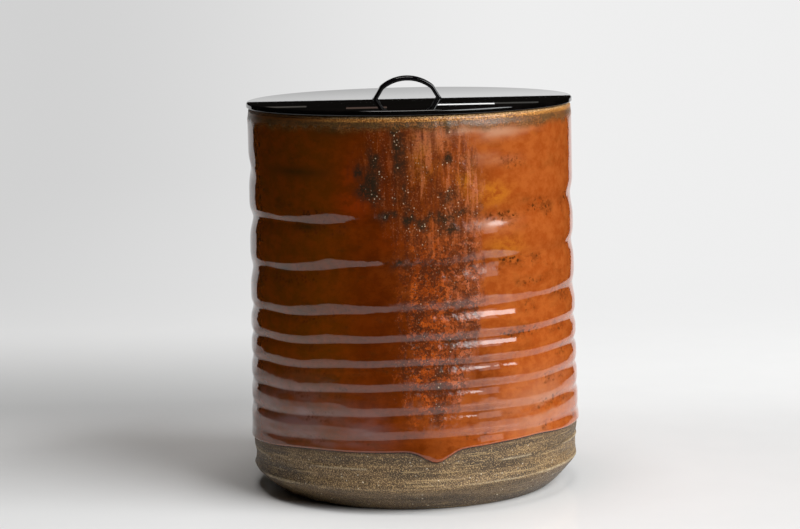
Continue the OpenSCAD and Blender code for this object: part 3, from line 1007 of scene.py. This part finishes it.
def paper():
    """White paper with a faint sheen, with a painted shadow behind the jar on the left, and lit further back.
    """
    p = Painter("paper")
    # Painted shadow on the table behind the jar on the left, on both its colour and its glow.
    deep = p.times(p.ramp(p.along("Y"), 0.10, 0.22), p.ramp(p.along("Y"), 0.50, 0.24))
    painted_shadow = p.times(p.ramp(p.across(), 0.0, -0.10), deep)
    colour = p.mix(p.noise(40 * MM, 3), (0.88, 0.88, 0.88), (0.92, 0.92, 0.92))
    colour = p.mix(painted_shadow, colour, (0.54, 0.54, 0.54))
    p.set(Base_Color=colour, Roughness=0.10, Specular_IOR_Level=0.15)
    shade = p.mix(p.ramp(p.across(), -0.45, 0.2), (0.64, 0.64, 0.64), (0.86, 0.86, 0.86))
    shade = p.mix(painted_shadow, shade, (0.42, 0.42, 0.42))
    dip = p.ramp(p.height(), BACKDROP_TOP - 50 * MM, BACKDROP_TOP - 20 * MM, 1.0, 0.82)
    lift = p.ramp(p.height(), BACKDROP_TOP - 15 * MM, BACKDROP_TOP + 2 * MM, 1.0, 1.4)
    glow = p.add("ShaderNodeEmission", {"Color": shade, "Strength": p.times(dip, lift)})
    path = p.add("ShaderNodeLightPath").outputs
    mirrored = p.sum("MAXIMUM", path["Is Glossy Ray"], path["Is Transmission Ray"])
    seen = p.sum("MAXIMUM", path["Is Camera Ray"], mirrored)
    share = p.times(seen, p.ramp(p.along("Y"), 0.25, 0.75))
    join = p.add("ShaderNodeMixShader", {0: share, 1: p.shader.outputs[0], 2: glow.outputs[0]})
    p.put(p.tree.nodes["Material Output"].inputs["Surface"], join.outputs[0])
    return p.material


def make_table():
    """The table's sheet of paper, which turns up into a low backdrop."""
    rows = [
        (TABLE_FRONT, TABLE_LEFT, TABLE_RIGHT, 0),
        (TABLE_MIDDLE, TABLE_LEFT, TABLE_MIDDLE_RIGHT, 0),
        (BACKDROP_Y, BACKDROP_LEFT, BACKDROP_RIGHT, 0)]
    for t in np.linspace(0.1, math.pi / 2, 12):
        y = BACKDROP_Y + BACKDROP_TURN * math.sin(t)
        rows.append((y, BACKDROP_LEFT, BACKDROP_RIGHT, BACKDROP_TURN * (1 - math.cos(t))))
    rows.append((BACKDROP_Y + BACKDROP_TURN, BACKDROP_LEFT, BACKDROP_RIGHT, BACKDROP_TOP))
    points = [(x, y, z - TABLE_GAP) for y, left, right, z in rows for x in (left, right)]
    faces = [(2 * i, 2 * i + 1, 2 * i + 3, 2 * i + 2) for i in range(len(rows) - 1)]
    table = as_object("table_paper", points, faces)
    table.data.materials.append(paper())


def make_glints():
    """Bright slots above the backdrop, which show as streaks on the polished lid."""
    for name, left, right, low, high, tint, strength in (
            ("glint_middle", -0.067, -0.018, 0.3280, 0.3300, (0.085, 0.048, 0.034), 1),
            ("glint_left", -0.171, -0.115, 0.3252, 0.3268, (0.075, 0.066, 0.055), 1),
            ("glint_right", 0.036, 0.112, 0.3264, 0.3278, (1, 1, 1), 1.6),
            ("glint_far_right", 0.112, 0.165, 0.3258, 0.3276, (0.05, 0.047, 0.041), 1)):
        corners = ((left, low), (right, low), (right, high), (left, high))
        points = [(x, BACKDROP_Y + BACKDROP_TURN, z) for x, z in corners]
        glint = as_object(name, points, [(0, 1, 2, 3)])
        p = Painter(name)
        p.set(Base_Color=(0, 0, 0), Emission_Color=tint, Emission_Strength=strength)
        glint.data.materials.append(p.material)


def add_lamp(name, place, target, size, radiance, colour=(1, 1, 1)):
    """A square soft lamp of that size and radiance, turned to face the target."""
    data = bpy.data.lights.new(name, "AREA")
    data.size = size
    data.energy = radiance * math.pi * size ** 2
    data.color = colour
    lamp = bpy.data.objects.new(name, data)
    lamp.location = place
    aim = Vector(target) - Vector(place)
    lamp.rotation_euler = aim.to_track_quat("-Z", "Y").to_euler()
    bpy.context.scene.collection.objects.link(lamp)


def light_room():
    """A soft lamp from the right, a window, light from above, and a dark room that the camera sees pale."""
    add_lamp("key", (2.06, -1.42, 1.88), LIT_POINT, 2.4, 7.8, (0.97, 0.99, 1.0))
    add_lamp("window", (1.0, -0.80, 0.34), LIT_POINT, 0.40, 1.2)
    add_lamp("overhead", (-0.1, 0.0, 2.4), (-0.1, 0, 0), 1.0, 7.2, (1.0, 0.97, 0.94))
    world = bpy.data.worlds.new("room")
    world.use_nodes = True
    bpy.context.scene.world = world
    tree = world.node_tree
    seen = tree.nodes.new("ShaderNodeLightPath").outputs["Is Camera Ray"]
    tint = tree.nodes.new("ShaderNodeMix")
    tint.data_type = "RGBA"
    tint.inputs[6].default_value = (0.005, 0.0045, 0.004, 1)
    tint.inputs[7].default_value = (0.86, 0.86, 0.86, 1)
    tree.links.new(seen, tint.inputs[0])
    tree.links.new(tint.outputs[2], tree.nodes["Background"].inputs["Color"])


def make_camera():
    """The photograph's camera, in front of the jar and a little above its lid."""
    data = bpy.data.cameras.new("camera")
    data.sensor_width = SENSOR_W
    data.lens = SENSOR_W * FOCAL_PX / WIDTH_PX
    camera = bpy.data.objects.new("camera", data)
    camera.location = CAMERA_PLACE
    pitch = math.radians(90 - CAMERA_DOWN)
    roll = math.radians(CAMERA_LEAN)
    turn = Matrix.Rotation(pitch, 4, "X") @ Matrix.Rotation(roll, 4, "Z")
    camera.rotation_euler = turn.to_euler()
    bpy.context.scene.collection.objects.link(camera)
    bpy.context.scene.camera = camera


def build():
    """The whole scene."""
    black = lacquer("black_lacquer", (0.004, 0.0032, 0.003))
    dressed = (
        (make_jar_body(), stoneware(), "jar"),
        (make_outer_glaze(), iron_glaze(), "jar"),
        (make_lining(), lining_glaze(), "jar"),
        (make_lid_board(), black, "lid"),
        (make_lid_hoop(), black, "lid"),
        (make_lid_handle(), lacquer("handle_lacquer", (0.005, 0.004, 0.006)), "lid"))
    for piece, material, body in dressed:
        piece.data.materials.append(material)
        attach(piece, body)
    make_table()
    make_glints()
    light_room()
    make_camera()
    bpy.context.scene.view_settings.view_transform = "Standard"


build()
